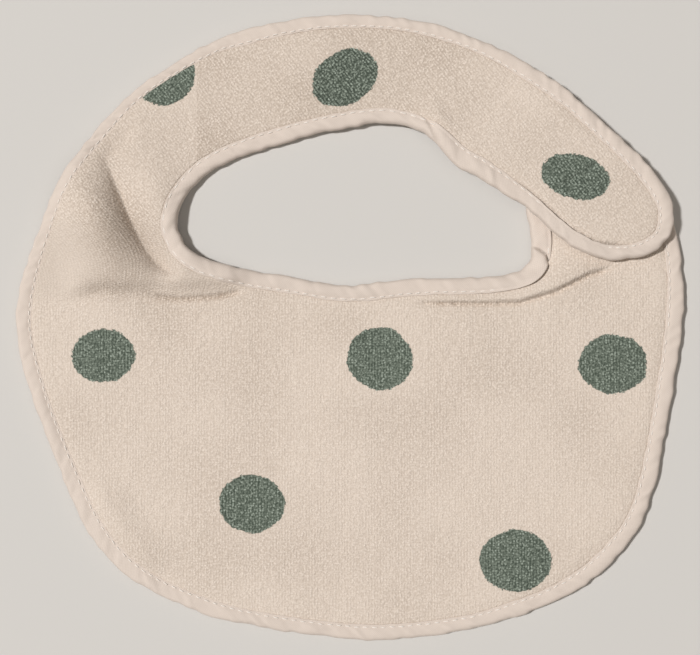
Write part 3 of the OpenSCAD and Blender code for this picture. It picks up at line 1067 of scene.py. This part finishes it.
def patch_plate(w, l):
    """A grid squeezed to a patch's outline, and its height, with rounded edges and a sewn line."""
    r = PATCH_CORNER
    nx, ny = round(w / PATCH_STEP), round(l / PATCH_STEP)
    a, b = np.meshgrid(np.linspace(-1, 1, nx + 1), np.linspace(-1, 1, ny + 1), indexing="ij")
    x, y = a * w / 2, b * l / 2
    corner_x, corner_y = np.maximum(np.abs(x) - (w / 2 - r), 0), np.maximum(np.abs(y) - (l / 2 - r), 0)
    square, circle = np.maximum(corner_x, corner_y), np.hypot(corner_x, corner_y)
    pull = np.where(circle > 0, square / np.maximum(circle, 1e-9), 1)
    x = np.sign(x) * (np.minimum(np.abs(x), w / 2 - r) + corner_x * pull)
    y = np.sign(y) * (np.minimum(np.abs(y), l / 2 - r) + corner_y * pull)
    qx, qy = np.abs(x) - (w / 2 - r), np.abs(y) - (l / 2 - r)
    inside = r - (np.hypot(np.maximum(qx, 0), np.maximum(qy, 0)) + np.minimum(np.maximum(qx, qy), 0))
    edge = np.sqrt(np.clip(1 - (1 - np.clip(inside / 0.7, 0, 1)) ** 2, 0, 1))
    seam = np.exp(-((inside - 1.5) / 0.5) ** 2)
    uneven = np.random.default_rng(41).uniform(-1, 1, x.shape) * 0.05
    return x, y, PATCH_THICK * (0.35 + 0.65 * edge) - 0.35 * seam * PATCH_THICK + uneven * edge


def make_patch(name, node, slot, zone, size, base_z, up, tuft):
    """A closure patch with its loops or hooks standing on it. up is 1 for one that faces up and -1 down."""
    x, y, z = patch_plate(*size)
    middle, wide, tall = patch_frame(node)
    flat = middle + x.reshape(-1, 1) * wide + y.reshape(-1, 1) * tall
    level = base_z + LIFT[zone](flat[:, 0], flat[:, 1])
    points = [np.column_stack([flat, level + up * z.ravel()]), np.column_stack([flat, level])]
    faces = [rows if up > 0 else rows[:, ::-1] for rows in plate_faces(x.shape)]
    uv = [np.column_stack([x.ravel(), y.ravel()])] * 2
    first = 2 * x.size
    for a, b, curve, radius in tuft(*size, np.random.default_rng(42)):
        p = middle + a * wide + b * tall
        floor_z = float(LIFT[zone](p[:1], p[1:])[0]) + base_z + up * PATCH_THICK * 0.85
        path = np.column_stack([p + curve[:, :1] * wide + curve[:, 1:2] * tall, floor_z + up * curve[:, 2]])
        tube = stitch_tube(path, radius, 4, 2)
        points.append(tube)
        faces.append(ring_faces(len(path), 4) + first)
        first += len(tube)
        uv.append(tube[:, :2])
    obj = build(name, np.vstack(points), faces, np.vstack(uv) * UV_SCALE)
    finished(obj, slot, zone, node)


def loops(w, l, rng):
    """Soft loops of the fuzzy patch."""
    for a in np.arange(-w / 2 + 2.2, w / 2 - 2.0, 0.75):
        for b in np.arange(-l / 2 + 2.2, l / 2 - 2.0, 0.75):
            turn, size = rng.uniform(0, math.pi), rng.uniform(0.35, 0.6)
            t = np.linspace(0, math.pi, 5)
            flat = np.cos(t) * size
            curve = np.column_stack([flat * math.cos(turn), flat * math.sin(turn), np.sin(t) * size * 0.55])
            yield a + rng.uniform(-0.2, 0.2), b + rng.uniform(-0.2, 0.2), curve, 0.06


def hooks(w, l, _):
    """Rows of small hooks that face along the strap."""
    for row, a in enumerate(np.arange(-w / 2 + 2.3, w / 2 - 2.0, 1.1)):
        for b in np.arange(-l / 2 + 2.3, l / 2 - 2.0, 1.3):
            t = np.linspace(0, 1, 7)
            reach = np.where(t < 0.5, 0, np.sin((t - 0.5) * 2 * math.pi * 0.6)) * 0.45
            rise = np.where(t < 0.5, t * 1.0, 0.5 + 0.18 * np.sin((t - 0.5) * 2 * math.pi)) * 0.9
            curve = np.column_stack([0 * t, reach * (1 if row % 2 else -1), rise])
            yield a, b, curve, 0.10


make_patch("loop_pile_patch", "loop_patch", "loop_pile", "collar", LOOP_PATCH_SIZE, 3.85, 1, loops)
make_patch("hook_tape_patch", "hook_patch", "hook_tape", "end", HOOK_PATCH_SIZE, 0.45, -1, hooks)


# A patch's own seam: its distance in from the patch's sides, its corners, and its stitches
PATCH_SEAM_IN = 1.5
PATCH_SEAM_CORNER = 2.2
PATCH_STITCH = 2.4
PATCH_STITCH_STEPS = 10
PATCH_STITCH_POINTS = 9
PATCH_THREAD_R = 0.2


def make_patch_seam(name, node, stands_for, zone, size, z, up):
    """The stitches that hold a closure patch, in a rectangle with round corners."""
    middle, wide, tall = patch_frame(node)
    r = PATCH_SEAM_CORNER
    half_w, half_l = (side / 2 - PATCH_SEAM_IN - r for side in size)
    outline = []
    for sx, sy, turn in [(1, 1, 0), (-1, 1, 90), (-1, -1, 180), (1, -1, 270)]:
        for k in np.linspace(0, 90, 7):
            t = math.radians(turn + k)
            outline.append((sx * half_w + r * math.cos(t), sy * half_l + r * math.sin(t), 0))
    line = np.array(outline)
    count = round(closed_length(line) / PATCH_STITCH)
    dense = spaced(line, count * PATCH_STITCH_STEPS)
    points = []
    for k in range(count):
        flat = dense[k * PATCH_STITCH_STEPS:][:PATCH_STITCH_POINTS]
        p = middle + flat[:, :1] * wide + flat[:, 1:2] * tall
        height = z + LIFT[zone](p[:, 0], p[:, 1]) + up * 0.22 * stitch_arch(len(flat))
        points.append(stitch_tube(np.column_stack([p, height]), PATCH_THREAD_R, STITCH_SIDES))
    points = np.vstack(points)
    faces = tube_faces(count, PATCH_STITCH_POINTS, STITCH_SIDES)
    obj = build(name, points, faces, points[:, :2] * UV_SCALE)
    finished(obj, "thread", zone, stands_for)


make_patch_seam("loop_patch_stitches", "loop_patch", "loop_patch_thread", "collar", LOOP_PATCH_SIZE, 4.15, 1)
make_patch_seam("hook_patch_stitches", "hook_patch", "hook_patch_thread", "end", HOOK_PATCH_SIZE, 0.15, -1)


LABEL_THICK = 0.12


def make_label():
    """The blank care label: one thin strip that leaves the binding and lies under the lining."""
    low, high = (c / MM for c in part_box("care_label"))
    nx, ny = 24, 40
    a, b = np.meshgrid(np.linspace(0, 1, nx + 1), np.linspace(0, 1, ny + 1), indexing="ij")
    x = (low.x + (high.x - low.x) * a).ravel()
    y = (low.y + (high.y - low.y) * b).ravel()
    wave = 0.05 * np.sin(a.ravel() * 5) * b.ravel() + 0.04 * np.sin(b.ravel() * 9)
    z = base_lift(x, y) + 0.14 + np.clip(wave, -0.08, 0.12)
    points = np.vstack([np.column_stack([x, y, z + LABEL_THICK]), np.column_stack([x, y, z])])
    obj = build("care_label_strip", points, plate_faces((nx + 1, ny + 1)), points[:, :2] * UV_SCALE)
    finished(obj, "label", "panel", "care_label")


make_label()


# ---- floor, light and camera

FLOOR_HALF = 3.0


def floor():
    mesh = bpy.data.meshes.new("floor")
    corners = [(FLOOR_HALF * a, FLOOR_HALF * b, 0) for a, b in ((-1, -1), (1, -1), (1, 1), (-1, 1))]
    mesh.from_pydata(corners, [], [(0, 1, 2, 3)])
    look = Nodes("floor", 0.9, specular=0.2)
    look.shader.inputs["Base Color"].default_value = (0.62, 0.60, 0.57, 1)
    mesh.materials.append(look.material)
    link("floor", mesh)


def area_light(name, place, size, power, colour):
    """A round light that points at the origin."""
    light = bpy.data.lights.new(name, "AREA")
    light.shape, light.size, light.energy, light.color = "DISK", size, power, colour
    obj = link(name, light)
    obj.location = place
    obj.rotation_euler = (-Vector(place)).to_track_quat("-Z", "Y").to_euler()


floor()
# The key light stands in for the photo's sun, and comes from the left
area_light("key", (-2.780, 0.490, 5.300), 0.56, 322.0, (0.99, 0.985, 0.985))
area_light("fill", (0.8, -0.5, 2.2), 2.4, 7.5, (0.99, 0.95, 0.91))
world = bpy.data.worlds.new("studio")
world.use_nodes = True
background = world.node_tree.nodes["Background"]
background.inputs["Color"].default_value = (1.0, 0.93, 0.85, 1)
background.inputs["Strength"].default_value = 0.18
bpy.context.scene.world = world
bpy.context.scene.view_settings.view_transform = "Standard"

# The camera looks straight down but for a slight tilt, in degrees. Its distance and view are in metres
TILT = 0.8
SIDE = 0.4
DISTANCE = 0.52
AIM = (0.0002, -0.00055, 0.003)
SENSOR = 36
VIEW_WIDTH = 0.259
camera = bpy.data.cameras.new("camera")
camera.lens = SENSOR * DISTANCE / VIEW_WIDTH
camera.sensor_width = SENSOR
camera_object = link("camera", camera)
back = Vector((math.sin(math.radians(SIDE)), -math.sin(math.radians(TILT)), 1)).normalized()
camera_object.location = Vector(AIM) + back * DISTANCE
right = Vector((0, 1, 0)).cross(back).normalized()
camera_object.rotation_euler = Matrix((right, back.cross(right), back)).transposed().to_euler()
bpy.context.scene.camera = camera_object
